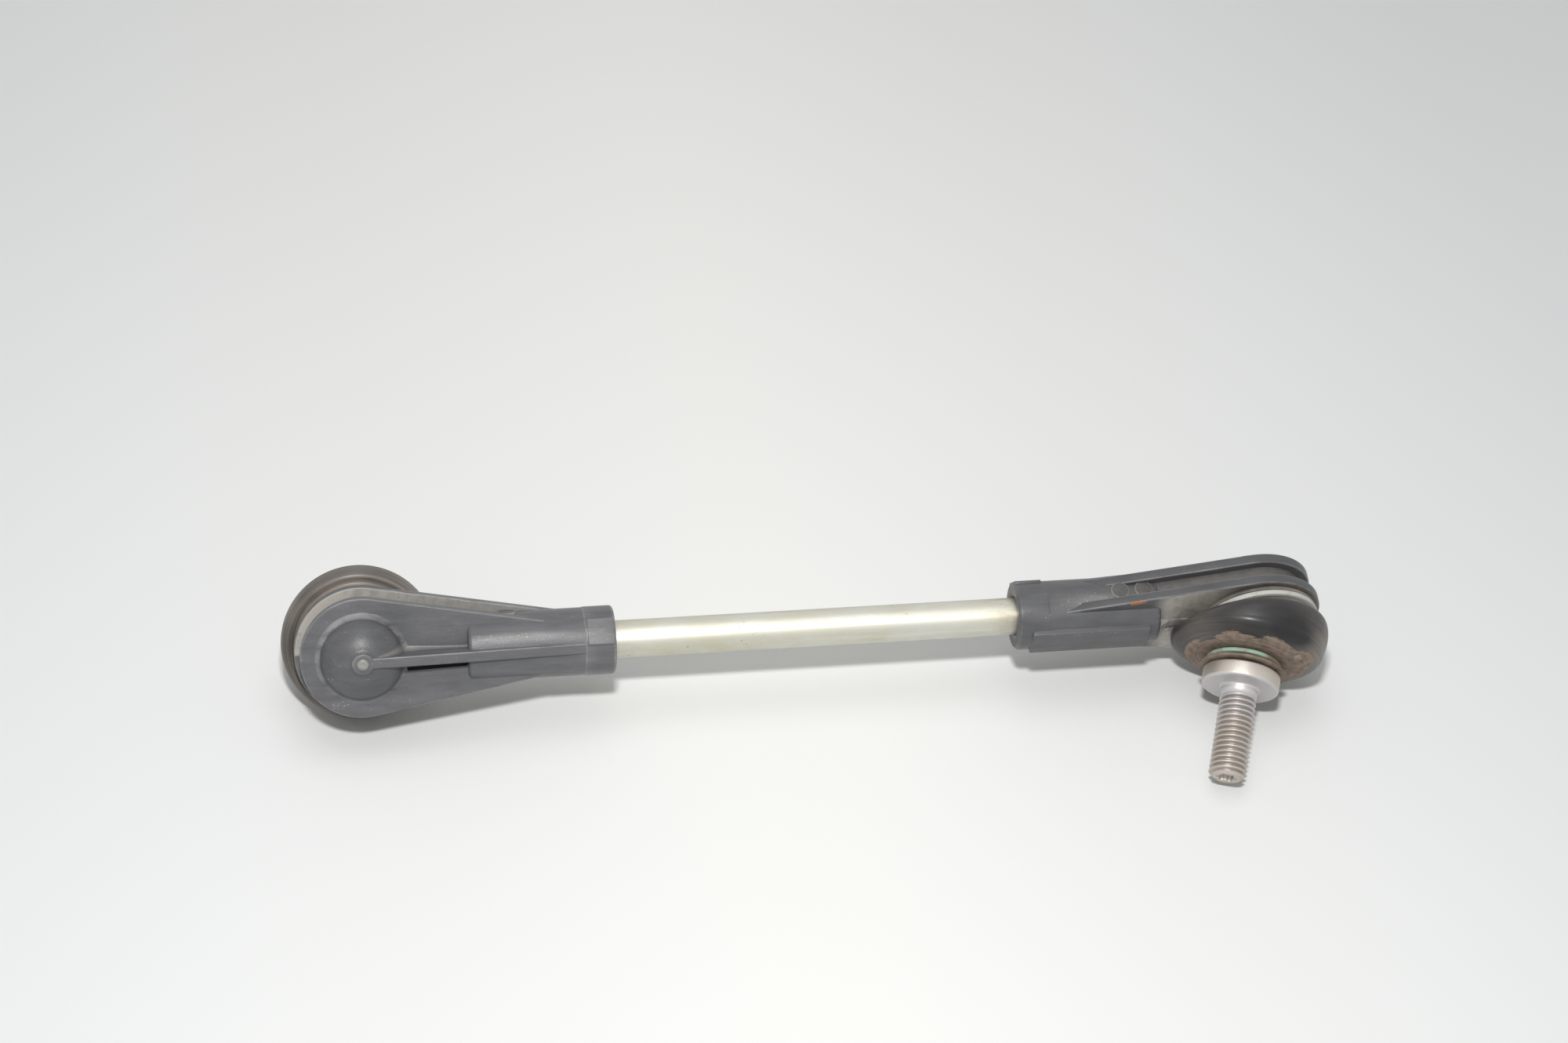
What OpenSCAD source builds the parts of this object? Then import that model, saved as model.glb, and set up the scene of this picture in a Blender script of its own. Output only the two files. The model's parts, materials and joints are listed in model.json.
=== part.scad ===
// Stabilizer link: a steel tie rod with a moulded ball joint on each end.
// Lengths in mm. The rod runs along X and the floor is z = 0.
// Each end has its own frame: origin at the ball centre, x along the rod
// toward the middle of the link, z out of the socket mouth.

/* [Link] */
// distance between the two ball centres
ball_distance = 242; // [190:1:400]
// angle between the two socket mouths, seen along the rod
socket_phase = 135; // [0:1:180]
// how far the left socket axis points below the horizontal
left_dip = 33.5; // [0:0.5:45]

/* [Tie rod] */
// diameter of the steel bar
rod_d = 10; // [8:0.1:12]
// distance from the ball centre to the moulded-in rod end
rod_end_x = 31; // [29:0.5:36]
// depth of the anchor grooves turned in the rod ends
anchor_depth = 0.7; // [0.3:0.1:1.2]
// width of each anchor groove
anchor_w = 2.4; // [1:0.1:3]
// spacing of the anchor grooves
anchor_pitch = 6.5; // [4:0.1:8]
// anchor grooves in each rod end
anchor_count = 4; // [1:1:4]

/* [Housing] */
// radius of the head at the back flange
back_r = 16.1; // [15:0.1:20]
// radius of the head at the front flange
front_r = 17.5; // [17:0.1:22]
// half angle of the taper from the head to the sleeve
taper = 10.5; // [8:0.1:12]
// level of the back face behind the ball centre
back_level = 5.4; // [4:0.1:7]
// thickness of the back flange
back_t = 2.9; // [1.5:0.1:3.2]
// level of the front face ahead of the ball centre
front_level = 4.8; // [4:0.1:7]
// thickness of the front flange
front_t = 2.7; // [1.5:0.1:3.2]
// depth of the side groove between the flanges
groove_depth = 2.4; // [1:0.1:2.6]
// radius of the dome over the ball
dome_r = 12.25; // [12:0.05:14]
// radius of the fillet around the foot of the dome
dome_fillet = 1; // [0.4:0.1:1.6]
// radius of the round gate pad on the dome
gate_r = 2.8; // [1.5:0.1:4]
// height of the gate pad above the ball centre
gate_level = 12.5; // [12.3:0.1:14]
// width of the stiffening rib on the back
rib_w = 2.9; // [1.5:0.1:5]
// level of the back rib at the dome
rib_level = 12.2; // [10:0.1:13]
// width of the stiffening rib in front of the mouth
front_rib_w = 3; // [1.5:0.1:5]
// level of the front rib at the sleeve end
front_rib_level = 7.6; // [6:0.1:8.5]

/* [Sleeve] */
// outer diameter of the sleeve around the rod
sleeve_d = 18; // [15:0.1:20]
// distance from the ball centre to the inner end of the sleeve
sleeve_x = 27.7; // [26:0.1:29]
// distance from the ball centre to the step of the end collar
collar_x = 58.6; // [56:0.1:62]
// distance from the ball centre to the open end of the collar
collar_end = 66.8; // [65:0.1:76]
// step of the collar above the sleeve
collar_step = 0.15; // [0.05:0.05:0.8]
// chamfer at the open end of the collar
collar_chamfer = 1; // [0.3:0.1:1.5]
// side of the square pad on the collar
pad_size = 7.2; // [4:0.1:8]
// turn of the square pad from the back of the sleeve
pad_angle = 28; // [0:1:60]
// width of the flat bar along the front of the sleeve
bar_w = 9; // [4:0.1:10]
// height of the flat bar above the rod axis
bar_level = 9.4; // [8.6:0.1:10]
// diameter of the round blank marks beside the sleeve
disc_d = 5; // [3:0.1:6]

/* [Ball joint] */
// diameter of the ball
ball_d = 16; // [14:0.1:16]
// running clearance between ball and seat on the radius
ball_clearance = 0.05; // [0.02:0.01:0.1]
// wall of the plastic ball seat
seat_wall = 2; // [1.6:0.1:2.2]
// level of the seat lip ahead of the ball centre
seat_top = 3.5; // [3:0.1:3.8]
// outer radius of the closing ring
ring_r = 11.2; // [10.8:0.1:11.6]
// level of the outer face of the closing ring
ring_top = 7.2; // [6.8:0.1:8]
// wall of the mouth collar that carries the boot
mouth_wall = 2; // [1.4:0.1:2.4]

/* [Stud] */
// nominal diameter of the threaded stud
stud_d = 10; // [8:0.1:10]
// distance from the ball centre to the end of the stud
stud_tip = 51.6; // [42:0.1:65]
// distance from the ball centre to the seating face of the flange
stud_seat = 25.7; // [25.2:0.1:28]
// diameter of the stud flange
flange_d = 21; // [18:0.1:23]
// thickness of the stud flange
flange_t = 4.4; // [3:0.1:4.6]
// diameter of the neck behind the ball
neck_d = 8.4; // [7:0.1:8.6]
// diameter of the land that the boot seals on
land_d = 13.2; // [11:0.1:13.6]
// depth of the six-lobe recess in the stud end
recess_depth = 3.6; // [1:0.1:5]
// lean of the left stud toward the middle of the link
left_pitch = 1.5; // [-22:0.1:22]
// lean of the left stud across the link
left_lean = -8.2; // [-22:0.1:22]
// lean of the right stud toward the middle of the link
right_pitch = 17; // [-22:0.1:22]
// lean of the right stud across the link
right_lean = 11; // [-22:0.1:22]

/* [Boot] */
// largest diameter of the rubber boot
boot_d = 41.5; // [38:0.1:46]
// level of the widest ring of the boot
boot_level = 12.8; // [11.5:0.1:14]
// level of the flat shoulder on the socket side of the boot
shoulder_level = 9; // [8.6:0.1:9.6]
// how far the flat shoulder stops inside the widest ring
shoulder_in = 2.15; // [1.5:0.05:3]
// share of the stud's lean that the left boot takes at its widest ring
left_boot_share = 0.1; // [0:0.05:1]
// share of the stud's lean that the right boot takes at its widest ring
right_boot_share = 0.95; // [0:0.05:1]
// wall thickness of the boot
boot_wall = 1.6; // [1:0.1:2]
// outer diameter of the clamp ring at the mouth
clamp_d = 33; // [32:0.1:34]
// radial thickness of the clamp ring
clamp_t = 1.5; // [1:0.1:1.6]
// height of the clamp ring along the socket axis
clamp_h = 1.4; // [0.8:0.1:1.6]
// outer diameter of the spring ring at the boot lip
lip_ring_d = 20.4; // [19:0.1:21]
// diameter of the thin shield washer under the flange
washer_d = 23.4; // [20:0.1:26]
// thickness of the shield washer
washer_t = 0.8; // [0.4:0.1:0.9]

/* [Hidden] */
$fn = 96;
right_dip = 180 - socket_phase - left_dip;
half = ball_distance / 2;
rod_r = rod_d / 2;
sleeve_r = sleeve_d / 2;
collar_r = sleeve_r + collar_step;
ball_r = ball_d / 2;
bore_r = ball_r + ball_clearance;
seat_r = bore_r + seat_wall - ball_clearance;
mouth_r = ring_r + mouth_wall;
neck_r = neck_d / 2;
land_r = land_d / 2;
flange_r = flange_d / 2;
flange_back = stud_seat - flange_t;
ball_flat = 6.5;
thread_start = stud_seat + 3.2;
tip_chamfer = 1.1;
lip_gap = 0.3;
clamp_z = 6.4;
clamp_in = clamp_d / 2 - clamp_t;
lip_r = land_r + lip_gap;
lip_ring_in = lip_r + 2;
lip_ring_z = flange_back - 3.6;
lip_ring_h = 1.2;
washer_z = flange_back - 1.4;
boot_segments = 60;

// height of the ball centres above the floor, from the lowest stud tip
left_down = sin(left_lean) * cos(left_dip) + cos(left_lean) * cos(left_pitch) * sin(left_dip);
right_down = sin(right_lean) * cos(right_dip) + cos(right_lean) * cos(right_pitch) * sin(right_dip);
function reach(down) = (stud_tip - tip_chamfer) * down + stud_d / 2 * sqrt(1 - down * down);
base_z = max(reach(left_down), reach(right_down));

// sideways shift that centres the link on the origin
left_out = -sin(left_lean) * sin(left_dip) + cos(left_lean) * cos(left_pitch) * cos(left_dip);
right_out = -sin(right_lean) * sin(right_dip) + cos(right_lean) * cos(right_pitch) * cos(right_dip);
function side(out) = stud_tip * out + (stud_d / 2 - tip_chamfer) * sqrt(1 - out * out);
base_y = (side(right_out) - side(left_out)) / 2;
base_x = (boot_d / 2 - front_r) / 2;

// the left end frame: socket mouth away from the viewer and down
module at_left() {
  translate([base_x - half, base_y, base_z])
    rotate([-(90 + left_dip), 0, 0])
      children();
}

// the right end frame: the same end turned about the rod by the phase angle
module at_right() {
  translate([base_x + half, base_y, base_z])
    rotate([90 + right_dip, 0, 0])
      rotate([0, 0, 180])
        children();
}

// leans a stud about the ball centre
module leaning(pitch, lean) {
  rotate([0, pitch, 0])
    rotate([-lean, 0, 0])
      children();
}

// one half of the tie rod, from the middle of the link to the moulded-in end
module rod_half() {
  rotate([0, 90, 0])
    difference() {
      union() {
        translate([0, 0, rod_end_x + 0.6])
          cylinder(h = half - rod_end_x - 0.6, r = rod_r);
        translate([0, 0, rod_end_x])
          cylinder(h = 0.6, r1 = rod_r - 0.6, r2 = rod_r);
      }
      for (i = [1 : anchor_count])
        translate([0, 0, rod_end_x + i * anchor_pitch - anchor_w])
          difference() {
            cylinder(h = anchor_w, r = rod_r + 1);
            translate([0, 0, -1])
              cylinder(h = anchor_w + 2, r = rod_r - anchor_depth);
          }
    }
}

// teardrop plan of the head: a circle with two tangent lines to the sleeve
module teardrop(r) {
  reach_x = collar_x + 1;
  reach_y = (r - reach_x * sin(taper)) / cos(taper);
  circle(r = r);
  polygon([
    [r * sin(taper), r * cos(taper)],
    [reach_x, reach_y],
    [reach_x, -reach_y],
    [r * sin(taper), -r * cos(taper)]
  ]);
}

// a slab of the teardrop plan between two levels
module slab(r, z0, z1) {
  translate([0, 0, z0])
    linear_extrude(height = z1 - z0)
      teardrop(r);
}

// an upright plate on the rod plane, drawn as x and level
module plate(w, points) {
  translate([0, w / 2, 0])
    rotate([90, 0, 0])
      linear_extrude(height = w)
        polygon(points);
}

// concave fillet around the foot of the dome
module dome_foot() {
  foot_r = sqrt(dome_r * dome_r - back_level * back_level);
  translate([0, 0, -back_level])
    rotate_extrude()
      difference() {
        translate([foot_r - 1.6, -dome_fillet])
          square([dome_fillet + 1.6, dome_fillet]);
        translate([foot_r + dome_fillet, -dome_fillet])
          circle(r = dome_fillet);
      }
}

// outside of the moulding
module housing_skin() {
  slab(back_r, -back_level, -back_level + back_t);
  slab(back_r - groove_depth, -back_level + back_t - 0.5, front_level - front_t + 0.5);
  slab(front_r, front_level - front_t, front_level);
  intersection() {
    sphere(r = dome_r);
    translate([0, 0, -20])
      cylinder(h = 20 - back_level + 1, r = dome_r + 1);
  }
  dome_foot();
  translate([0, 0, -gate_level])
    cylinder(h = 2, r = gate_r);
  plate(rib_w, [
    [1, -back_level + 0.5],
    [1, -rib_level],
    [5, -rib_level],
    [collar_x + 1, -sleeve_r + 0.05],
    [collar_x + 1, -back_level + 0.5]
  ]);
  plate(front_rib_w, [
    [mouth_r - 0.8, front_level - 0.5],
    [mouth_r - 0.8, front_level + 0.1],
    [sleeve_x - 3.4, front_level + 0.3],
    [sleeve_x + 1, front_rib_level],
    [sleeve_x + 1, front_level - 0.5]
  ]);
  translate([0, 0, front_level - 0.5])
    cylinder(h = ring_top - front_level + 0.5, r = mouth_r);
  rotate([0, 90, 0]) {
    translate([0, 0, sleeve_x])
      cylinder(h = 1, r1 = sleeve_r - 1, r2 = sleeve_r);
    translate([0, 0, sleeve_x + 1])
      cylinder(h = collar_x - sleeve_x, r = sleeve_r);
    translate([0, 0, collar_x])
      cylinder(h = collar_end - collar_x - collar_chamfer, r = collar_r);
    translate([0, 0, collar_end - collar_chamfer])
      cylinder(h = collar_chamfer, r1 = collar_r, r2 = collar_r - collar_chamfer);
  }
  rotate([-pad_angle, 0, 0])
    translate([collar_end - 0.4 - pad_size, -pad_size / 2, -collar_r])
      cube([pad_size, pad_size, 4]);
  translate([sleeve_x + 3, -bar_w / 2, 5])
    cube([collar_x + 4.6 - sleeve_x - 3, bar_w, bar_level - 5]);
  for (x = [33, 39])
    translate([x, 0, -0.6])
      rotate([90, 0, 0])
        cylinder(h = sleeve_r + 0.35, r = disc_d / 2);
}

// glass-filled moulding of one end, with the socket and the rod bore
module housing() {
  color([0.2, 0.21, 0.23])
    difference() {
      housing_skin();
      sphere(r = seat_r);
      cylinder(h = 30, r = seat_r);
      translate([0, 0, seat_top])
        cylinder(h = 30, r = ring_r);
      translate([half, 0, 0])
        mirror([1, 0, 0])
          translate([half, 0, 0])
            mirror([1, 0, 0])
              rod_half();
    }
}

// plastic cup that the ball turns in
module ball_seat() {
  color([0.86, 0.86, 0.82])
    difference() {
      union() {
        intersection() {
          sphere(r = seat_r);
          translate([0, 0, -20])
            cylinder(h = 20, r = seat_r + 1);
        }
        cylinder(h = seat_top, r = seat_r);
      }
      sphere(r = bore_r);
    }
}

// ring pressed into the mouth over the seat
module closing_ring() {
  color([0.3, 0.31, 0.33])
    rotate_extrude()
      polygon([
        [bore_r - 0.65, seat_top],
        [ring_r, seat_top],
        [ring_r, ring_top],
        [ring_r - 1.65, ring_top]
      ]);
}

// hardened ball with the weld flat toward the stud
module ball() {
  color([0.75, 0.76, 0.78])
    intersection() {
      sphere(r = ball_r);
      translate([0, 0, -20])
        cylinder(h = 20 + ball_flat, r = ball_r + 1);
    }
}

// six-lobe recess in the stud end
module recess() {
  translate([0, 0, stud_tip - recess_depth])
    linear_extrude(height = recess_depth + 1) {
      circle(r = 2.15);
      for (a = [0 : 60 : 300])
        rotate([0, 0, a])
          translate([2.1, 0])
            circle(r = 0.62);
    }
}

// stud: neck, sealing land, flange and threaded shank
module stud() {
  shank_r = stud_d / 2 - 0.55;
  thread_r = stud_d / 2;
  color([0.72, 0.71, 0.68])
    difference() {
      rotate_extrude()
        polygon([
          [0, ball_flat],
          [neck_r, ball_flat],
          [neck_r, 11.6],
          [land_r, 14.6],
          [land_r, flange_back],
          [flange_r - 0.4, flange_back],
          [flange_r, flange_back + 0.4],
          [flange_r, stud_seat - 0.6],
          [flange_r - 0.6, stud_seat],
          [shank_r + 1.3, stud_seat],
          [shank_r + 0.5, stud_seat + 0.4],
          [shank_r, stud_seat + 1.3],
          [shank_r, thread_start - 0.55],
          [thread_r, thread_start],
          [thread_r, stud_tip - tip_chamfer],
          [thread_r - tip_chamfer, stud_tip],
          [0, stud_tip]
        ]);
      recess();
    }
}

// one bowed quarter of the boot wall: level, radius and share of the stud's lean
function bow(z0, r0, z1, r1, e, e0, e1, angles) = [
  for (a = angles)
    [
      z1 - (z1 - z0) * pow(cos(a), e),
      r0 + (r1 - r0) * pow(sin(a), e),
      e0 + (e1 - e0) * pow(a / 90, 1.5)
    ]
];

// section of the boot, outside first, then the inside
function boot_section(share) = let (
  r = boot_d / 2,
  s = r - shoulder_in,
  t = boot_wall,
  g = clamp_in - 0.02,
  b = lip_ring_in - 0.02,
  m = mouth_r + 0.06,
  z = lip_ring_z,
  top = clamp_z + clamp_h + 0.3
) concat(
  [
    [front_level + 0.15, m, 0], [front_level + 0.15, g + 0.9, 0], [front_level + 0.5, g + 1.25, 0],
    [clamp_z - 0.3, g + 1.25, 0], [clamp_z - 0.05, g, 0], [clamp_z + clamp_h + 0.05, g, 0],
    [top, g + 0.6, 0], [shoulder_level + 0.7, (g + 0.6 + s) / 2, share * 0.12]
  ],
  bow(shoulder_level, s, boot_level, r, 0.72, share * 0.3, share, [0 : 15 : 90]),
  bow(z - 0.2, b + 0.9, boot_level, r, 0.87, 1, share, [75 : -15 : 15]),
  [
    [z - 0.2, b + 0.9, 1], [z - 0.05, b, 1], [z + lip_ring_h + 0.05, b, 1],
    [z + lip_ring_h + 0.25, b + 0.7, 1], [washer_z - 0.1, b + 0.7, 1],
    [washer_z - 0.1, lip_r, 1], [z - 0.6, lip_r, 1], [z - 1.2, lip_r + 1.2, 1]
  ],
  bow(z - 0.2 - t, lip_r + 1.4, boot_level, r - t, 0.87, 1, share, [15 : 15 : 90]),
  bow(shoulder_level + t, s - 0.3, boot_level, r - t, 0.72, share * 0.3, share, [75 : -15 : 0]),
  [
    [shoulder_level + t + 0.6, (g + s) / 2 - 0.1, share * 0.12], [top + t, g, 0],
    [8.9, m + 0.8, 0], [7.9, m, 0]
  ]
);

// hollow rubber boot, its rings turning from the socket axis to the stud axis
module boot(pitch, lean, share) {
  section = boot_section(share);
  n = len(section);
  k = boot_segments;
  function leaned(p, f) = let (
    y1 = p[1] * cos(lean * f) + p[2] * sin(lean * f),
    z1 = -p[1] * sin(lean * f) + p[2] * cos(lean * f)
  ) [p[0] * cos(pitch * f) + z1 * sin(pitch * f), y1, -p[0] * sin(pitch * f) + z1 * cos(pitch * f)];
  points = [
    for (j = [0 : n - 1])
      for (i = [0 : k - 1])
        leaned(
          [section[j][1] * cos(i * 360 / k), section[j][1] * sin(i * 360 / k), section[j][0]],
          section[j][2]
        )
  ];
  faces = [
    for (j = [0 : n - 1])
      for (i = [0 : k - 1])
        for (s = [0, 1])
          let (
            a = j * k + i,
            b = j * k + (i + 1) % k,
            c = ((j + 1) % n) * k + i,
            d = ((j + 1) % n) * k + (i + 1) % k
          )
          s == 0 ? [a, b, d] : [a, d, c]
  ];
  color([0.1, 0.1, 0.11])
    polyhedron(points = points, faces = faces);
}

// flat ring around the boot cuff
module clamp_ring() {
  color([0.78, 0.8, 0.82])
    rotate_extrude()
      translate([clamp_in, clamp_z])
        square([clamp_t, clamp_h]);
}

// spring ring around the boot lip
module lip_ring() {
  color([0.62, 0.78, 0.7])
    rotate_extrude()
      translate([lip_ring_in, lip_ring_z])
        square([lip_ring_d / 2 - lip_ring_in, lip_ring_h]);
}

// thin washer between the boot lip and the flange
module shield_washer() {
  color([0.45, 0.37, 0.28])
    rotate_extrude()
      translate([lip_r, washer_z])
        square([washer_d / 2 - lip_r, washer_t]);
}

// the whole tie rod
module tie_rod() {
  color([0.8, 0.8, 0.76])
    translate([base_x, base_y, base_z]) {
      translate([-half, 0, 0])
        rod_half();
      translate([half, 0, 0])
        mirror([1, 0, 0])
          rod_half();
    }
}

tie_rod();
at_left() housing();  // left_housing
at_right() housing();  // right_housing
at_left() ball_seat();  // left_ball_seat
at_right() ball_seat();  // right_ball_seat
at_left() closing_ring();  // left_closing_ring
at_right() closing_ring();  // right_closing_ring
at_left() leaning(left_pitch, left_lean) ball();  // left_ball
at_right() leaning(right_pitch, right_lean) ball();  // right_ball
at_left() leaning(left_pitch, left_lean) stud();  // left_stud
at_right() leaning(right_pitch, right_lean) stud();  // right_stud
at_left() boot(left_pitch, left_lean, left_boot_share);  // left_boot
at_right() boot(right_pitch, right_lean, right_boot_share);  // right_boot
at_left() clamp_ring();  // left_clamp_ring
at_right() clamp_ring();  // right_clamp_ring
at_left() leaning(left_pitch, left_lean) lip_ring();  // left_lip_ring
at_right() leaning(right_pitch, right_lean) lip_ring();  // right_lip_ring
at_left() leaning(left_pitch, left_lean) shield_washer();  // left_shield_washer
at_right() leaning(right_pitch, right_lean) shield_washer();  // right_shield_washer
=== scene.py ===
import json

import bmesh
import bpy
import numpy as np
from mathutils import Matrix, Vector


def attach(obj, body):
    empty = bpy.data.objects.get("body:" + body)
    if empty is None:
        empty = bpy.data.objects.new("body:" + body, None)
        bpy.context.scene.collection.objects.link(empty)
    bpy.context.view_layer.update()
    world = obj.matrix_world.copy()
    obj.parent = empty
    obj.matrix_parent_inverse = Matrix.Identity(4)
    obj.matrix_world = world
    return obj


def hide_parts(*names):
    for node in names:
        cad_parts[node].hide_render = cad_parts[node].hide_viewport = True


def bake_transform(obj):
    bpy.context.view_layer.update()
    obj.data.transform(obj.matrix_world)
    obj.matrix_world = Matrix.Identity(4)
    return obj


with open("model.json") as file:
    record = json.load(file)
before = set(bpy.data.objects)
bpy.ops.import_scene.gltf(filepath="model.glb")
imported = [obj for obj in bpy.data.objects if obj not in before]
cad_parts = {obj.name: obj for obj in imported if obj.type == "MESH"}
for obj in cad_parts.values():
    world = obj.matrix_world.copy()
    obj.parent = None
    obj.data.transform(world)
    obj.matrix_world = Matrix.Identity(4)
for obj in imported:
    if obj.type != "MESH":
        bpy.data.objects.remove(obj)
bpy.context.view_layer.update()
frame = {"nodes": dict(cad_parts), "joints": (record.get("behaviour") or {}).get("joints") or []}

nodes = frame["nodes"]


# Table, light and camera.
# The link lies on a pale matt table top. One small lamp stands just above the
# lens, as a flash does, and a wide soft one hangs overhead.
scene = bpy.context.scene
scene.view_settings.view_transform = "Standard"


class Finish:
    """A procedural material. Node inputs that are sockets are linked and plain values
    are set, and each method that adds a node gives back one of its outputs."""

    def __init__(self, name):
        self.material = bpy.data.materials.new(name)
        self.material.use_nodes = True
        self.tree = self.material.node_tree
        self.place = self.add("TexCoord", {}, out="Object")

    def fill(self, node, inputs):
        """Links or sets each named input of a node."""
        for key, value in inputs.items():
            if isinstance(value, bpy.types.NodeSocket):
                self.tree.links.new(value, node.inputs[key])
            else:
                node.inputs[key].default_value = value

    def add(self, kind, inputs, out=0, **settings):
        """A new node of a kind, with its settings and inputs."""
        node = self.tree.nodes.new("ShaderNode" + kind)
        for key, value in settings.items():
            setattr(node, key, value)
        self.fill(node, inputs)
        return node.outputs[out]

    def mark(self, name):
        """A value that rides along on the points of the mesh."""
        return self.add("Attribute", {}, out="Fac", attribute_name=name)

    def stretched(self, *scale):
        """The object's own coordinates with a scale for each axis."""
        return self.add("Mapping", {"Vector": self.place, "Scale": scale})

    def noise(self, scale, detail, rough=0.5, place=None):
        """Soft noise in the object's own coordinates, or at another place."""
        return self.add("TexNoise", {
            "Vector": place or self.place, "Scale": scale, "Detail": detail, "Roughness": rough,
        })

    def cells(self, scale):
        """Distance from the nearest of many scattered points."""
        return self.add("TexVoronoi", {"Vector": self.place, "Scale": scale})

    def ramp(self, value, low, high, bottom=0.0, top=1.0):
        """A straight line from bottom at low to top at high, level beyond both."""
        return self.add("MapRange", {
            "Value": value, "From Min": low, "From Max": high, "To Min": bottom, "To Max": top,
        })

    def math(self, operation, one, two, clamp=False):
        """Two values put together by one step of arithmetic."""
        return self.add("Math", {0: one, 1: two}, operation=operation, use_clamp=clamp)

    def cover(self, name, *ramp):
        """A point value times a ramp of some noise, kept between 0 and 1."""
        return self.math("MULTIPLY", self.mark(name), self.ramp(*ramp), clamp=True)

    def mix(self, share, one, two):
        """The first colour, with the second over it by its share."""
        one, two = (paint if isinstance(paint, bpy.types.NodeSocket) else (*paint, 1)
                    for paint in (one, two))
        return self.add("MixRGB", {"Fac": share, "Color1": one, "Color2": two})

    def bump(self, height, strength, distance):
        """Fine relief that tilts the surface without moving it."""
        return self.add("Bump", {"Height": height, "Strength": strength, "Distance": distance})

    def shade(self, **inputs):
        """Wires values into the surface shader."""
        wired = {key.replace("_", " "): value for key, value in inputs.items()}
        self.fill(self.tree.nodes["Principled BSDF"], wired)


look = table_finish = Finish("table_top")
# the table's colour is painted lighter in a wide oval round the middle and darker towards the edges: a
# painted pool of light standing for the flash's falloff, with a little mottle
pool_place = look.add("Mapping", {"Vector": look.place, "Location": (0.02, 0.0, 0.0), "Scale": (2.2, 0.2, 1.0)})
middle = look.add("TexGradient", {"Vector": pool_place}, out="Fac", gradient_type="SPHERICAL")
pool_and_mottle = look.math("ADD", look.math("MULTIPLY", look.noise(5.0, 3.0), 0.06), middle)
look.shade(
    Base_Color=look.mix(look.ramp(pool_and_mottle, 0.45, 1.0), (0.80, 0.828, 0.85), (0.925, 0.935, 0.93)),
    Roughness=0.75,
    Specular_IOR_Level=0.15,
)

table_reach, table_lines = 2.5, 9
table_line = np.linspace(-table_reach, table_reach, table_lines)
across, along = np.meshgrid(table_line, table_line)
table_mesh = bpy.data.meshes.new("table_top")
first_corner = np.arange(table_lines - 1)[:, None] * table_lines + np.arange(table_lines - 1)
cell = first_corner.reshape(-1, 1) + np.array([0, 1, table_lines + 1, table_lines])
table_points = np.stack([across, along, 0 * across], -1).reshape(-1, 3)
table_mesh.from_pydata(table_points.tolist(), [], cell.tolist())
table_mesh.materials.append(table_finish.material)
table = bpy.data.objects.new("table_top", table_mesh)
scene.collection.objects.link(table)

# the eye's place, and the picture's right, up and backward directions
eye = Vector((-0.14829723, -0.66442212, 0.74159658))
eye_right = Vector((0.98798728, -0.13985989, 0.06572940))
eye_up = Vector((0.05299060, 0.70615956, 0.70606705))
eye_back = eye_right.cross(eye_up)
camera_data = bpy.data.cameras.new("camera")
camera_data.sensor_width = 36.0
camera_data.sensor_fit = "HORIZONTAL"
camera_data.lens = 84.583
camera_data.clip_start = 0.05
camera_data.clip_end = 20.0
camera = bpy.data.objects.new("camera", camera_data)
camera.matrix_world = Matrix((eye_right, eye_up, eye_back)).transposed().to_4x4()
camera.location = eye
scene.collection.objects.link(camera)
scene.camera = camera


def hang_lamp(name, spot, aim, width, height, watts, tint):
    """A rectangular lamp at a spot, turned to face the aim point."""
    lamp_data = bpy.data.lights.new(name, "AREA")
    lamp_data.shape = "RECTANGLE"
    lamp_data.size, lamp_data.size_y = width, height
    lamp_data.energy, lamp_data.color = watts, tint
    lamp = bpy.data.objects.new(name, lamp_data)
    lamp.location = spot
    lamp.rotation_mode = "QUATERNION"
    lamp.rotation_quaternion = (Vector(aim) - Vector(spot)).to_track_quat("-Z", "Y")
    scene.collection.objects.link(lamp)


flash_above_lens = 0.225
hang_lamp("flash", eye + eye_up * flash_above_lens, (0.01, 0.0, 0.02), 0.08, 0.055, 6.6, (1.0, 0.99, 0.975))
hang_lamp("ceiling", (-0.05, 0.05, 1.25), (0.0, 0.0, 0.0), 0.8, 0.6, 2.3, (0.97, 0.985, 1.0))

# the room's dim light, and plain white for what the lens, a gloss or a clear piece sees of it
world = bpy.data.worlds.new("studio")
world.use_nodes = True
scene.world = world
sky = world.node_tree
sky.nodes["Background"].inputs["Color"].default_value = (1.0, 0.98, 0.93, 1)
sky.nodes["Background"].inputs["Strength"].default_value = 0.32
white = sky.nodes.new("ShaderNodeBackground")
white.inputs["Color"].default_value = (1, 1, 1, 1)
white.inputs["Strength"].default_value = 1.0
ray = sky.nodes.new("ShaderNodeLightPath")
seen = sky.nodes.new("ShaderNodeMath")
seen.operation = "MAXIMUM"
seen_too = sky.nodes.new("ShaderNodeMath")
seen_too.operation = "MAXIMUM"
choose = sky.nodes.new("ShaderNodeMixShader")
sky.links.new(ray.outputs["Is Camera Ray"], seen.inputs[0])
sky.links.new(ray.outputs["Is Glossy Ray"], seen.inputs[1])
sky.links.new(seen.outputs[0], seen_too.inputs[0])
sky.links.new(ray.outputs["Is Transmission Ray"], seen_too.inputs[1])
sky.links.new(seen_too.outputs[0], choose.inputs[0])
sky.links.new(sky.nodes["Background"].outputs[0], choose.inputs[1])
sky.links.new(white.outputs[0], choose.inputs[2])
sky.links.new(choose.outputs[0], sky.nodes["World Output"].inputs["Surface"])


# Tie rod.
# A straight drawn steel bar, zinc plated, with its two ends moulded into the
# housings. The plating is satin, a little yellow, scratched and pitted.
joints = {joint["name"]: joint for joint in frame["joints"]}


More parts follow.
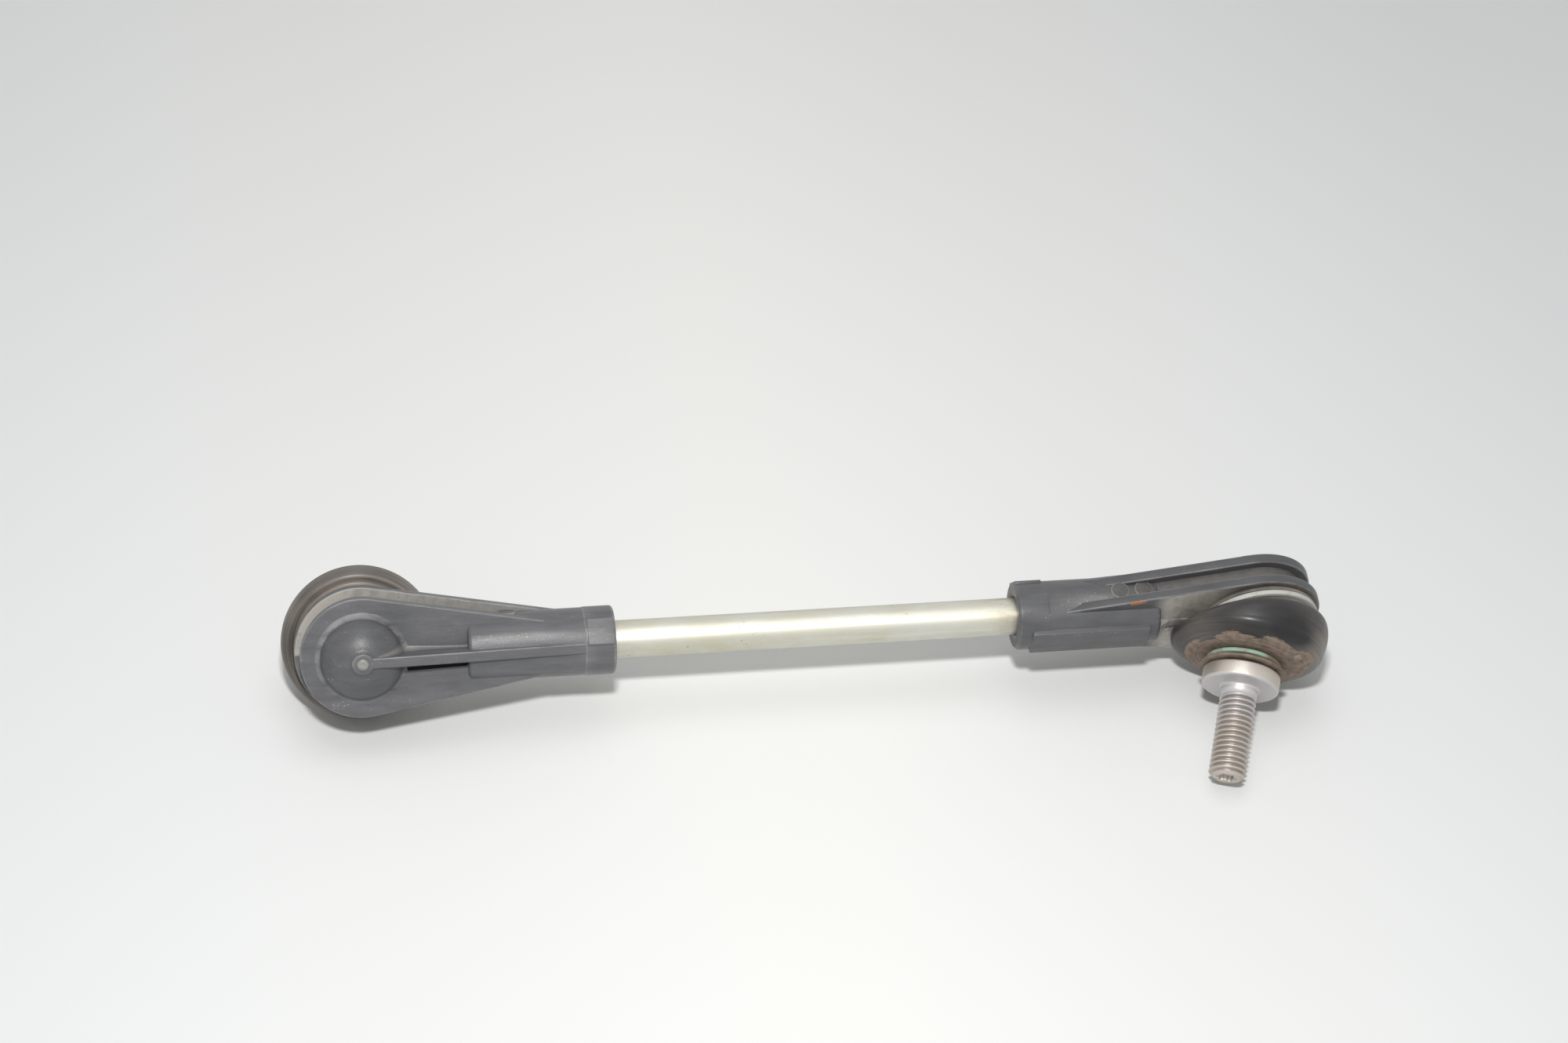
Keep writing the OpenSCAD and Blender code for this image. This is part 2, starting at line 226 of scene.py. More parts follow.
def ball_place(side):
    """Ball centre in millimetres and the socket's axes as matrix columns: x along the
    rod to the middle, y the hinge line of the swing along the rod, z out of the mouth."""
    hinge = joints[side + "_swing_along"]
    x = np.array([1.0 if side == "left" else -1.0, 0.0, 0.0])
    y = np.array(hinge["axis"])
    return 1000 * np.array(hinge["pos_m"]), np.stack([x, y, np.cross(x, y)], axis=1)


def set_down(points, side):
    """Carries points from a ball joint's own axes into the shared frame, still in millimetres."""
    centre, axes = ball_place(side)
    return points @ axes.T + centre


def make_piece(name, grids, finish, body, replaced, closed=True, cells=True):
    """One mesh from point grids (rows x columns x 3, millimetres, each row a closed ring).
    Every cell between two rows is a quad, or in the first grid only the named cells. Value
    grids ride along as point attributes. Doubles at poles are merged, and a closed shell has
    its faces turned outwards."""
    points, quads, start = [], [], 0
    marks = {key: [] for grid, values in grids for key in values}
    for grid, values in grids:
        rows, cols = grid.shape[:2]
        index = start + np.arange(rows * cols).reshape(rows, cols)
        beside = np.roll(index, -1, axis=1)
        quad = np.stack([index[:-1], beside[:-1], beside[1:], index[1:]], -1)
        quads.append(quad[np.broadcast_to(cells if start == 0 else True, quad.shape[:2])])
        points.append(grid.reshape(-1, 3))
        for key, column in marks.items():
            column.append(np.broadcast_to(values.get(key, 0.0), (rows, cols)).reshape(-1))
        start += rows * cols
    used, quads = np.unique(np.concatenate(quads), return_inverse=True)
    mesh = bpy.data.meshes.new(name)
    mesh.from_pydata((np.concatenate(points)[used] / 1000).tolist(), [], quads.reshape(-1, 4).tolist())
    for key, column in marks.items():
        values = np.concatenate(column)[used].astype("f")
        mesh.attributes.new(key, "FLOAT", "POINT").data.foreach_set("value", values)
    work = bmesh.new()
    work.from_mesh(mesh)
    bmesh.ops.remove_doubles(work, verts=work.verts, dist=1e-6)
    bmesh.ops.dissolve_degenerate(work, edges=work.edges, dist=1e-8)
    if closed:
        bmesh.ops.recalc_face_normals(work, faces=work.faces)
    work.to_mesh(mesh)
    work.free()
    mesh.polygons.foreach_set("use_smooth", np.ones(len(mesh.polygons), dtype=bool))
    mesh.materials.append(finish.material)
    piece = bpy.data.objects.new(name, mesh)
    scene.collection.objects.link(piece)
    if body:
        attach(piece, body)
    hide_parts(replaced)
    return piece


look = rod_finish = Finish("rod_zinc")
drawn = look.noise(1.0, 5.0, place=look.stretched(18, 420, 420))
stain = look.noise(1.0, 6.0, 0.65, place=look.stretched(55, 120, 120))
sparse = look.ramp(look.noise(95.0, 2.0), 0.55, 0.66)
pit = look.math("MULTIPLY", look.ramp(look.cells(520.0), 0.16, 0.07), sparse)
plating = look.mix(look.ramp(stain, 0.38, 0.68), (0.61, 0.61, 0.56), (0.54, 0.52, 0.41))
streaked = look.mix(look.ramp(drawn, 0.55, 0.80, top=0.45), plating, (0.80, 0.80, 0.76))
smudged = look.mix(look.cover("soiled", stain, 0.40, 0.62), streaked, (0.36, 0.31, 0.21))
look.shade(
    Base_Color=look.mix(pit, smudged, (0.16, 0.13, 0.09)),
    Metallic=0.85,
    Roughness=look.ramp(stain, 0.3, 0.7, 0.34, 0.48),
    Normal=look.bump(look.math("SUBTRACT", drawn, pit), 0.25, 0.00025),
)

# stations are counted from the ball centre, here as in the housings
rod_radius, rod_chamfer = 5.0, 0.6
rod_end, collar_end = 31.0, 66.8
smudge_length = 5
left_ball, right_ball = ball_place("left")[0], ball_place("right")[0]


def drawn_bar(start, end, radius, chamfer):
    """A round bar along x: the radius is carried round a full turn at each station,
    with a chamfer and a closed face at both ends."""
    middle = np.linspace(start + 3, end - 3, 60)
    station = np.concatenate([[start, start, start + chamfer], middle, [end - chamfer, end, end]])
    face = [0, radius - chamfer, radius]
    reach = np.concatenate([face, radius + 0 * middle, face[::-1]])
    turn = np.linspace(0, 2 * np.pi, 96, endpoint=False)
    return np.stack([
        station[:, None] + 0 * turn,
        left_ball[1] + reach[:, None] * np.cos(turn),
        left_ball[2] + reach[:, None] * np.sin(turn),
    ], -1)


def hump(value, centre, width):
    """A bell: the exponential of minus the square of the distance from the centre, in widths."""
    return np.exp(-((value - centre) / width) ** 2)


bar = drawn_bar(left_ball[0] + rod_end, right_ball[0] - rod_end, rod_radius, rod_chamfer)
by_left_collar = hump(bar[..., 0], left_ball[0] + collar_end, smudge_length)
by_right_collar = hump(bar[..., 0], right_ball[0] - collar_end, smudge_length)
make_piece("tie_rod_bar", [(bar, {"soiled": 0.3 * by_left_collar + by_right_collar})],
           rod_finish, "link", "tie_rod")


# Housings.
# One glass-filled plastic moulding at each end: a teardrop head of two flanges
# with a groove between them, a dome over the ball with its gate pad, a rib, and
# a sleeve that ends in a collar round the rod. Edges are rubbed, corners dusty.
look = plastic_finish = Finish("housing_plastic")
cloud = look.noise(70.0, 5.0, 0.6)
grain = look.noise(2600.0, 2.0)
scuff = look.noise(1.0, 5.0, 0.7, place=look.stretched(60, 330, 330))
crumb = look.noise(420.0, 6.0, 0.7)
# greasy marks a painted shadow: near black and without gloss, beside the rib's lower foot where its shadow
# falls
rib_shadow = look.mark("greasy")
speck_here = look.math("MAXIMUM", look.ramp(scuff, 0.54, 0.68, top=0.5), look.mark("flecked"))
speck = look.math("MULTIPLY", look.ramp(look.cells(900.0), 0.22, 0.10), speck_here)
paint_here = look.ramp(look.mark("painted"), 0.62, 0.80)
paint = look.math("MULTIPLY", paint_here, look.ramp(crumb, 0.34, 0.44), clamp=True)
moulded = look.mix(look.ramp(cloud, 0.35, 0.68), (0.026, 0.027, 0.030), (0.052, 0.053, 0.057))
hazy = look.mix(look.cover("greyed", scuff, 0.30, 0.70, 0.7, 1.3), moulded, (0.37, 0.375, 0.395))
specked = look.mix(speck, hazy, (0.60, 0.59, 0.58))
dusted = look.mix(look.cover("dusty", crumb, 0.30, 0.72, 0.5, 1.1), specked, (0.43, 0.41, 0.375))
dirtied = look.mix(look.cover("soiled", crumb, 0.25, 0.62), dusted, (0.235, 0.195, 0.155))
worn = look.mix(look.cover("rubbed", scuff, 0.30, 0.62), dirtied, (0.34, 0.34, 0.35))
shadow_painted = look.mix(rib_shadow, worn, (0.022, 0.020, 0.019))
look.shade(
    Base_Color=look.mix(paint, shadow_painted, (0.40, 0.16, 0.065)),
    Specular_IOR_Level=look.ramp(rib_shadow, 0.0, 1.0, 0.42, 0.0),
    Roughness=look.ramp(cloud, 0.3, 0.7, 0.33, 0.45),
    Normal=look.bump(look.math("ADD", grain, scuff), 0.22, 0.00025),
)

# millimetres from the ball centre: radii and levels of the head, then of the sleeve.
# A surface that runs into another is sunk a little below it.
sink, rib_sink = 0.05, 0.02
back_radius, front_radius, core_radius = 16.1, 17.5, 13.7
back_level, back_thick = 5.4, 2.9
front_level, front_thick = 4.8, 2.7
flange_edge, core_edge, core_bite = 0.45, 0.2, 0.6
taper = np.radians(10.5)
head_end = 59.6
dome_height, dome_reach, dome_foot = 12.25, 11.3, 1.6
dome_flat, dome_steep = 2.3, 0.62
gate_pad = [
    (2.95, -11.98), (2.86, -12.16), (2.74, -12.36), (2.52, -12.48), (2.2, -12.5), (1.5, -12.46),
    (1.25, -12.52), (1.05, -12.68), (0.7, -12.72), (0.45, -12.62), (0.0, -12.6),
]
rib_start, rib_width, rib_level, rib_edge = 2.0, 2.9, 12.2, 0.4
front_rib_width, front_rib_level = 3.0, 7.6
mouth_radius, mouth_bore, mouth_level, mouth_floor = 13.2, 11.2, 7.2, 2.4
mouth_chamfer = 0.3
sleeve_radius, sleeve_start, sleeve_edge = 9.0, 27.7, 1.2
collar_start, collar_radius, collar_edge = 58.6, 9.15, 1.0
pad_size, pad_angle, pad_edge, pad_stand = 7.2, np.radians(28), 0.25, 0.02
bar_width, bar_low, bar_level, bar_edge = 9.0, 5.0, 9.4, 0.5
disc_radius, disc_height, disc_stand, disc_stations = 2.5, 1.95, 9.35, (32.0, 38.5)
paint_start, paint_end, paint_rows = 32.9, 37.4, slice(-17, -12)
housing_film = {"left": 0.25, "right": 0.13}


def fade(value, none, full):
    """A straight line from 0 where the value is none to 1 where it is full, level beyond both."""
    return np.clip((value - none) / (full - none), 0, 1)


def teardrop(radius):
    """Plan of the head as a closed ring: an arc round the ball, then two straight lines that leave
    it at a tangent and close in by the taper angle. Gives points and outward normals."""
    swing = np.linspace(np.pi / 2 - taper, 3 * np.pi / 2 + taper, 150)
    way = np.linspace(0, 1, 50)[1:]
    tip = (radius - head_end * np.sin(taper)) / np.cos(taper)
    arc = radius * np.stack([np.cos(swing), np.sin(swing)], -1)
    low = arc[-1] + way[:, None] * (np.array([head_end, -tip]) - arc[-1])
    cap = np.array([head_end, 0.0]) + np.array([0.0, tip]) * np.linspace(-1, 1, 9)[1:, None]
    high = cap[-1] + way[:-1, None] * (arc[0] - cap[-1])
    side = np.array([np.sin(taper), np.cos(taper)])
    low_out, cap_out, high_out = (np.tile(normal, (len(line), 1)) for normal, line in (
        (side * [1, -1], low), ([1.0, 0.0], cap), (side, high)))
    return np.concatenate([arc, low, cap, high]), np.concatenate([arc / radius, low_out, cap_out, high_out])


def head_slab(radius, low, high, edge, pocket=None):
    """A plate of the teardrop plan. Its section goes from the middle line of the upper face, or from
    the floor of a round pocket over the pocket's raised lip, out to the rim, round a quarter circle,
    down the wall, round again and back to the middle line. Gives points and wear, which is the sine
    of twice the angle on the round edges."""
    plan, out = teardrop(radius)
    quarter = np.linspace(0, np.pi / 2, 6)
    flat = [edge + 2.0, edge + 0.35]
    inset = np.concatenate([
        flat, edge * (1 - np.sin(quarter)), [0.0], edge * (1 - np.cos(quarter)), flat[::-1],
    ])
    level = np.concatenate([
        [high, high], high - edge * (1 - np.cos(quarter)), [(low + high) / 2],
        low + edge * (1 - np.sin(quarter)), [low, low],
    ])
    rub = np.concatenate([[0, 0], np.sin(2 * quarter), [0], np.sin(2 * quarter), [0, 0]])
    ring = plan[None] - inset[:, None, None] * out[None]
    spine = np.stack([np.clip(plan[:, 0], 0, head_end), 0 * plan[:, 0]], -1)[None]
    first, first_level = spine, np.array([high])
    if pocket is not None:
        hole = pocket[:, :1, None] * (plan / np.linalg.norm(plan, axis=1, keepdims=True))[None]
        spread = np.linspace(0, 1, 22)[1:-1, None, None]
        first = np.concatenate([hole, hole[-1:] + spread * (ring[:1] - hole[-1:])])
        first_level = np.concatenate([pocket[:, 1], high + 0 * spread[:, 0, 0]])
    rings = np.concatenate([first, ring, spine])
    levels = np.concatenate([first_level, level, [low]])[:, None, None] + 0 * rings[..., :1]
    return np.concatenate([rings, levels], -1), np.concatenate([0 * first_level, rub, [0]])[:, None]


def turned(profile, sides=120):
    """Surface of revolution: each (radius, level) of the profile goes round the z axis once."""
    radius, level = np.array(profile, dtype=float).T[:, :, None]
    turn = np.linspace(0, 2 * np.pi, sides, endpoint=False)
    return np.stack([radius * np.cos(turn), radius * np.sin(turn), level + 0 * turn], -1)


def along_rod(profile, sides=120):
    """Surface of revolution about the rod: each (station, radius) goes round the x axis once."""
    station, radius = np.array(profile, dtype=float).T[:, :, None]
    turn = np.linspace(0, 2 * np.pi, sides, endpoint=False)
    return np.stack([station + 0 * turn, radius * np.cos(turn), radius * np.sin(turn)], -1)


def dome_profile():
    """Half section of the dome: a concave curve up from the plateau, a full cap whose height falls with
    a power of the radius, so that its top is flat and its sides are steep, then the gate pad with a
    broken-off gate. Gives the line and how many of its points are in the foot and in the cap."""
    bend = np.linspace(0, np.pi / 2, 10)
    reach = np.linspace(0.96, 0.30, 40)
    rise = (1 - reach ** dome_flat) ** dome_steep
    cap = np.stack([dome_reach * reach, -back_level - (dome_height - back_level) * rise], -1)
    drop = (cap[0, 1] + back_level) * -np.cos(bend) ** 1.6
    foot = cap[0] + np.stack([dome_foot * (1 - np.sin(bend)), drop], -1)
    start = foot[0] + np.array([(0.3, 0.4), (0.15, 0.02)])
    cap = cap[1:-4]
    return np.concatenate([start, foot, cap, gate_pad]), len(foot), len(cap)


def ridge(start, end, width, base, tops, low_foot, high_foot):
    """An upright rib along x. Its section is a concave quarter ellipse at each foot, a straight side and
    a rounded top edge. The top's height and the spread and rise of both feet follow the given stations,
    and each end is closed on the middle line. Gives points, wear on the edges and dust in the feet."""
    station = np.linspace(start, end, 70)[:, None]
    top = np.interp(station, *np.array(tops).T)
    grow = np.sign(top.mean() - base)
    bend = np.linspace(0, np.pi / 2, 6)[None]
    most = np.abs(top - base) * 0.8 + 0.05
    edge_y = width / 2 - rib_edge * (1 - np.cos(bend)) + 0 * station
    edge_z = top - grow * rib_edge * (1 - np.sin(bend))
    sides = []
    for foot in (low_foot, high_foot):
        at, *sizes = np.array(foot).T
        spread, rise = (np.minimum(np.interp(station, at, size), most) for size in sizes)
        foot_y = width / 2 + spread * (1 - np.sin(bend))
        foot_z = base + grow * rise * (1 - np.cos(bend))
        sides.append((np.concatenate([foot_y, edge_y], 1), np.concatenate([foot_z, edge_z], 1)))
    (low_y, low_z), (high_y, high_z) = sides
    across = np.concatenate([low_y, -high_y[:, ::-1]], 1)
    level = np.concatenate([low_z, high_z[:, ::-1]], 1)
    grid = np.stack([station + 0 * level, across, level], -1)
    shut = grid[[0, -1]] * [1, 0, 0] + [0, 0, base]
    round_part = np.sin(2 * bend[0])
    rub = np.concatenate([0 * round_part, round_part])
    dust = np.concatenate([round_part, 0 * round_part])
    marks = [np.concatenate([mark, mark[::-1]])[None] for mark in (rub, dust)]
    return np.concatenate([shut[:1], grid, shut[1:]]), *marks


def block(low, high, edge):
    """A box with round edges: a ball of the edge radius, cut at its middle planes and pulled apart."""
    low, high = np.array(low, dtype=float), np.array(high, dtype=float)
    quarter = np.linspace(0, np.pi / 2, 5)
    turn = np.concatenate([quarter + k * np.pi / 2 for k in range(4)])
    lift = np.concatenate([quarter - np.pi / 2, quarter])[:, None]
    sign_x = np.repeat([1, -1, -1, 1], len(quarter)) + 0 * lift
    sign_y = np.repeat([1, 1, -1, -1], len(quarter)) + 0 * lift
    sign_z = np.repeat([-1, 1], len(quarter))[:, None] + 0 * turn
    flat = np.cos(lift)
    ball = edge * np.stack([flat * np.cos(turn), flat * np.sin(turn), np.sin(lift) + 0 * turn], -1)
    corner = np.stack([sign_x, sign_y, sign_z], -1) * ((high - low) / 2 - edge)
    grid = (low + high) / 2 + corner + ball
    bottom, top = (row.mean(axis=0, keepdims=True)[None] + 0 * row[None] for row in grid[[0, -1]])
    return np.concatenate([bottom, grid, top])


def roll(angle):
    """Matrix of a turn about x, from z towards y."""
    return np.array([[1, 0, 0], [0, np.cos(angle), np.sin(angle)], [0, -np.sin(angle), np.cos(angle)]])


def head_grids(film, marked):
    """The two flanges and the core between them. Dust lies on the back of the front flange, most in an
    arc at its end, and on the front face by the sleeve and the mouth. The paint mark is a stretch of the
    upper front edge."""
    groove_low, groove_high = -back_level + back_thick, front_level - front_thick
    back, back_rub = head_slab(back_radius, -back_level, groove_low, flange_edge)
    core, _ = head_slab(core_radius, groove_low - core_bite, groove_high + core_bite, core_edge)
    pocket = np.array([
        (0, mouth_floor), (mouth_bore, mouth_floor), (mouth_bore, mouth_level),
        (mouth_radius - mouth_chamfer, mouth_level), (mouth_radius, mouth_level - mouth_chamfer),
        (mouth_radius, front_level + sink), (mouth_radius + sink, front_level),
    ])
    front, front_rub = head_slab(front_radius, groove_high, front_level, flange_edge, pocket)
    x, y, z = np.moveaxis(front, -1, 0)
    rim = np.zeros((len(front), 1))
    rim[paint_rows] = 1.0
    mark = rim * ((y < 0) & (x > paint_start) & (x < paint_end)) * marked
    bearing = np.degrees(np.arctan2(y, x))
    pale_arc = 1.3 * hump(bearing, -137, 26) * (bearing > -159)
    band_dust = (z < groove_high + sink) * (np.clip(0.84 - x / 80, 0, 1) * (y < 0) + 0.12 + pale_arc)
    on_face = z > front_level - sink
    by_sleeve = fade(x, 30, 26) * fade(x, 8, 14) * on_face
    by_mouth = fade(x, 17, 11) * on_face
    return [
        (back, {"rubbed": 0.5 * back_rub, "greyed": film}),
        (core, {"greyed": 0.1, "dusty": 0.10, "soiled": 0.2}),
        (front, {"rubbed": 0.6 * front_rub, "painted": mark, "greyed": film,
                 "soiled": 0.1 * by_sleeve + 0.5 * by_mouth, "dusty": band_dust + 1.1 * by_sleeve}),
    ]


def dome_grids(film):
    """The dome and the two ribs. The dome's foot is rubbed, more on its upper side, and dust fills the
    corner between dome and rib there. A painted shadow, near black and without gloss, lies along the rib's
    lower foot, which is spread wide to carry it, where the rib's shadow falls on the plateau."""
    dome_line, foot_count, cap_count = dome_profile()
    dome = turned(dome_line)
    foot_rub = np.sin(np.linspace(0.1, np.pi, foot_count)) ** 0.7
    pad_rub = [0, 0.3, 0.6, 0.5] + [0.2] * 7
    foot_wear = np.concatenate([[0, 0], foot_rub, np.zeros(cap_count), pad_rub])[:, None]
    pad_dust = np.concatenate([np.zeros(2 + foot_count + cap_count), [0] * 6, [0.7] * 5])[:, None]
    dome_x, dome_y = dome[..., 0], dome[..., 1]
    dome_turn = np.linspace(0, 2 * np.pi, dome.shape[1], endpoint=False)[None]
    off_wedge = np.abs(dome_y + rib_width / 2 + 0.14 * (dome_x - 3))
    wedge = np.clip(1.6 - off_wedge / (0.10 * (dome_x - 2.5).clip(0.1)), 0, 1) * (dome_x > 4)
    rib, rib_rub, rib_dust = ridge(
        rib_start, head_end, rib_width, -back_level + rib_sink,
        [(0, -rib_level), (5, -rib_level), (head_end, -sleeve_radius + sink)],
        [(10.2, 0.35, 0.35), (10.8, 3.3, 0.6), (sleeve_start, 2.65, 0.6), (sleeve_start + 0.8, 0.35, 0.35)],
        [(11, 1.8, 1.8), (20, 1.1, 1.1), (30, 0.6, 0.6)])
    rib_x, rib_y = rib[..., 0], rib[..., 1]
    # the first seven columns, the lower foot and the start of the edge above it, carry the painted shadow of
    # the rib
    low_side = np.arange(rib.shape[1])[None] < 7
    rib_shadow_strip = low_side * ((rib_x > 10.4) & (rib_x < sleeve_start + 0.5))
    upper_foot = rib_dust * (rib_y < 0) * np.exp(-np.clip(rib_x - 13, 0, None) / 6)
    front_rib_end = sleeve_start + 1
    front_rib, front_rib_rub, front_rib_dust = ridge(
        mouth_radius - 0.8, front_rib_end, front_rib_width, front_level - sink,
        [(12, front_level + 0.1), (sleeve_start - 3.4, front_level + 0.3), (front_rib_end, front_rib_level)],
        [(12, 0.35, 0.35), (30, 0.35, 0.35)], [(12, 0.5, 0.5), (30, 0.5, 0.5)])
    # the rib's lower side also gets no grey film, so it stays dark: painted shade like the strip beside it
    return [
        (dome, {"rubbed": foot_wear * (0.62 - 0.22 * np.sin(dome_turn + 0.6)), "greyed": film * 0.7,
                "dusty": pad_dust + 0.45 * wedge}),
        (rib, {"rubbed": 0.8 * rib_rub * (rib_y < 0), "greyed": film * (rib_y < 0.5 * rib_width - 0.2),
               "dusty": 0.3 * upper_foot, "greasy": rib_shadow_strip}),
        (front_rib, {"rubbed": 0.4 * front_rib_rub, "dusty": 0.9, "soiled": 0.3 * front_rib_dust}),
    ]


def sleeve_grids(film, shown_front):
    """The sleeve with its collar, square pad, bar and two discs. On the left sleeve a painted highlight,
    lighter and specked, runs along the line that catches the flash's gloss. On the right sleeve a dusty
    smear runs along the upper side. Crumbs lie where the flange runs into it."""
    bend = np.linspace(0, np.pi / 2, 7)
    sin, cos = np.sin(bend), np.cos(bend)
    sleeve = along_rod(np.concatenate([
        [(sleeve_start, 0.0), (sleeve_start, 6.0)],
        np.stack([sleeve_start + sleeve_edge * (1 - cos), sleeve_radius - sleeve_edge * (1 - sin)], -1),
        [(34, sleeve_radius), (46, sleeve_radius), (collar_start - 0.4, sleeve_radius),
         (collar_start - 0.05, sleeve_radius), (collar_start + 0.1, collar_radius - 0.02),
         (collar_start + 0.3, collar_radius), (62, collar_radius)],
        np.stack([collar_end - collar_edge * (1 - sin), collar_radius - collar_edge * (1 - cos)], -1),
        [(collar_end, 6.2), (collar_end - 0.15, 5.6), (collar_end - 0.8, 5.1), (collar_end - 1.6, 4.95),
         (collar_end - 1.6, 0.0)],
    ]))
    sleeve_rub = np.concatenate([
        [0, 0], 0 * bend, [0, 0, 0, 0.2, 0.7, 0.2, 0], np.sin(2 * bend) * 0.7, [0, 0, 0.2, 0, 0],
    ])[:, None]
    sleeve_x, sleeve_turn = sleeve[..., 0], np.linspace(0, 360, sleeve.shape[1], endpoint=False)[None]
    # on the left sleeve the streak is a painted highlight with white specks, along the line that catches the
    # flash's gloss; on the right sleeve it is a dusty smear
    if shown_front:
        rub_share, more_film = 0.2, 0.06
        dust_and_highlight_streak = hump(sleeve_turn, 165, 14) * fade(sleeve_x, 38, 42)
    else:
        rub_share, more_film = 1.0, 0.0
        dust_and_highlight_streak = hump(sleeve_turn, 243, 6) * fade(sleeve_x, 28, 31)
    dust_and_highlight_streak = dust_and_highlight_streak * fade(sleeve_x, 54, 50)
    crumbs = hump(sleeve_turn, 172, 7) * ((sleeve_x > 46) & (sleeve_x < 57))
    pad_end = collar_end - 0.4
    pad = block((pad_end - pad_size, -pad_size / 2, -collar_radius - pad_stand),
                (pad_end, pad_size / 2, -6.0), pad_edge)
    bar = block((sleeve_start + 3, -bar_width / 2, bar_low),
                (collar_start + 4.6, bar_width / 2, bar_level), bar_edge)
    disc = turned([
        (0, 0), (disc_radius, 0), (disc_radius, disc_height - 0.2), (disc_radius - 0.12, disc_height - 0.05),
        (disc_radius - 0.4, disc_height), (0, disc_height),
    ], 48)
    disc = disc[..., [0, 2, 1]] * [1, -1, 1] + [0, disc_height - disc_stand, -0.6]
    disc_dust = np.array([0, 0.8, 0.9, 0.7, 0.2, 0.2])[:, None]
    return [
        (sleeve, {"rubbed": sleeve_rub * rub_share, "greyed": film + more_film + 0.3 * dust_and_highlight_streak,
                  "dusty": 0.2 * dust_and_highlight_streak, "flecked": 0.8 * dust_and_highlight_streak + crumbs}),
        (pad @ roll(pad_angle).T, {"rubbed": 0.2, "greyed": film}),
        (bar, {"greyed": film + 0.06}),
        *((disc + [station, 0, 0], {"dusty": disc_dust}) for station in disc_stations),
    ]


for side in ("left", "right"):
    shown_front = side == "right"
    film = housing_film[side]
    grids = head_grids(film, shown_front) + dome_grids(film) + sleeve_grids(film, shown_front)
    grids = [(set_down(grid, side), values) for grid, values in grids]
    make_piece(side + "_housing_moulding", grids,
               plastic_finish, "link", side + "_housing")


# Ball seats, closing rings and balls.
# Inside each housing a plastic cup holds the hardened ball, and a pressed-in
# ring closes the mouth over it. The moulded and ground solids are kept as they are.
def inner_finish(name, light, dark, metallic, rough):
    """A smooth inner finish: two close shades mixed by a fine noise, which also breaks the gloss."""
    look = Finish(name)
    mottle = look.noise(260.0, 4.0)
    look.shade(
        Base_Color=look.mix(mottle, light, dark),
        Metallic=metallic,
        Roughness=look.ramp(mottle, 0.3, 0.7, rough - 0.06, rough + 0.06),
        Normal=look.bump(mottle, 0.1, 0.0001),
    )
    return look


inner_finishes = {
    "ball_seat": inner_finish("seat_plastic", (0.78, 0.77, 0.71), (0.68, 0.66, 0.58), 0.0, 0.36),
    "closing_ring": inner_finish("closing_plastic", (0.085, 0.087, 0.092), (0.055, 0.056, 0.06), 0.0, 0.45),
    "ball": inner_finish("ball_steel", (0.62, 0.63, 0.64), (0.52, 0.53, 0.54), 1.0, 0.16),
}
for side in ("left", "right"):
    for piece, finish in inner_finishes.items():
        mesh = nodes[side + "_" + piece].data
        mesh.materials.clear()
        mesh.materials.append(finish.material)


# Clamp rings.
# A pale flat plastic band round each socket mouth holds the boot's cuff in its
# groove. Brown dust lies on it in patches.
look = clamp_finish = Finish("clamp_plastic")
patch = look.noise(150.0, 6.0, 0.65)
look.shade(
    Base_Color=look.mix(look.ramp(patch, 0.52, 0.74), (0.55, 0.56, 0.535), (0.37, 0.31, 0.24)),
    Roughness=look.ramp(patch, 0.35, 0.65, 0.38, 0.7),
    Normal=look.bump(look.noise(900.0, 3.0), 0.15, 0.0002),
)

# inner and outer radius, low and high level, and the radius of the edges
clamp_high = 7.8
clamp_size = 15.0, 16.5, 6.4, clamp_high, 0.3


def band_profile(inner, outer, low, high, edge):
    """Closed half section of a flat ring: a rectangle whose four corners are quarter circles."""
    bend = np.linspace(0, np.pi / 2, 5)
    corners = [
        (outer - edge, high - edge, bend), (inner + edge, high - edge, bend + np.pi / 2),
        (inner + edge, low + edge, bend + np.pi), (outer - edge, low + edge, bend + 3 * np.pi / 2),
    ]
    arcs = [np.stack([r + edge * np.cos(angle), z + edge * np.sin(angle)], -1) for r, z, angle in corners]
    return np.concatenate(arcs + [arcs[0][:1]])


for side in ("left", "right"):
    band = turned(band_profile(*clamp_size), 144)
    make_piece(side + "_clamp_band", [(set_down(band, side), {})],
               clamp_finish, "link", side + "_clamp_ring")


# Boots.
# A hollow black rubber bellows with one wide fold, clamped on the socket mouth
# and gripping the stud's land. Its rings lean part of the way with the stud. Road dirt cakes its lower half.
look = rubber_finish = Finish("boot_rubber")
blotch = look.noise(110.0, 8.0, 0.68)
grit = look.noise(480.0, 5.0, 0.6)
smear = look.noise(45.0, 4.0)
# smears follow the rings: close together along the section and long the other way
spot = look.add("SeparateXYZ", {"Vector": look.stretched(70, 70, 70)}, out="X")
smear_place = look.add("CombineXYZ", {"X": look.math("MULTIPLY", look.mark("way"), 16.0), "Y": spot})
smears = look.noise(1.0, 7.0, 0.65, place=smear_place)
mixed = look.math("SUBTRACT", look.math("ADD", look.math("ADD", blotch, smears), smear), 1.5)
cake_line = look.math("ADD", look.mark("caked"), look.math("MULTIPLY", mixed, 0.8))
cake = look.ramp(cake_line, 0.46, 0.53)
crust = look.math("MULTIPLY", cake, look.ramp(cake_line, 0.60, 0.50))
haze = look.cover("film", look.math("ADD", smear, smears), 0.75, 1.2, 0.3, 1.1)
bare = look.mix(look.ramp(smear, 0.35, 0.7), (0.010, 0.010, 0.012), (0.024, 0.024, 0.025))
hazed = look.mix(haze, bare, (0.245, 0.216, 0.190))
gritty = look.ramp(look.math("ADD", grit, smears), 0.72, 1.30)
dirt = look.mix(gritty, (0.120, 0.088, 0.067), (0.33, 0.255, 0.21))
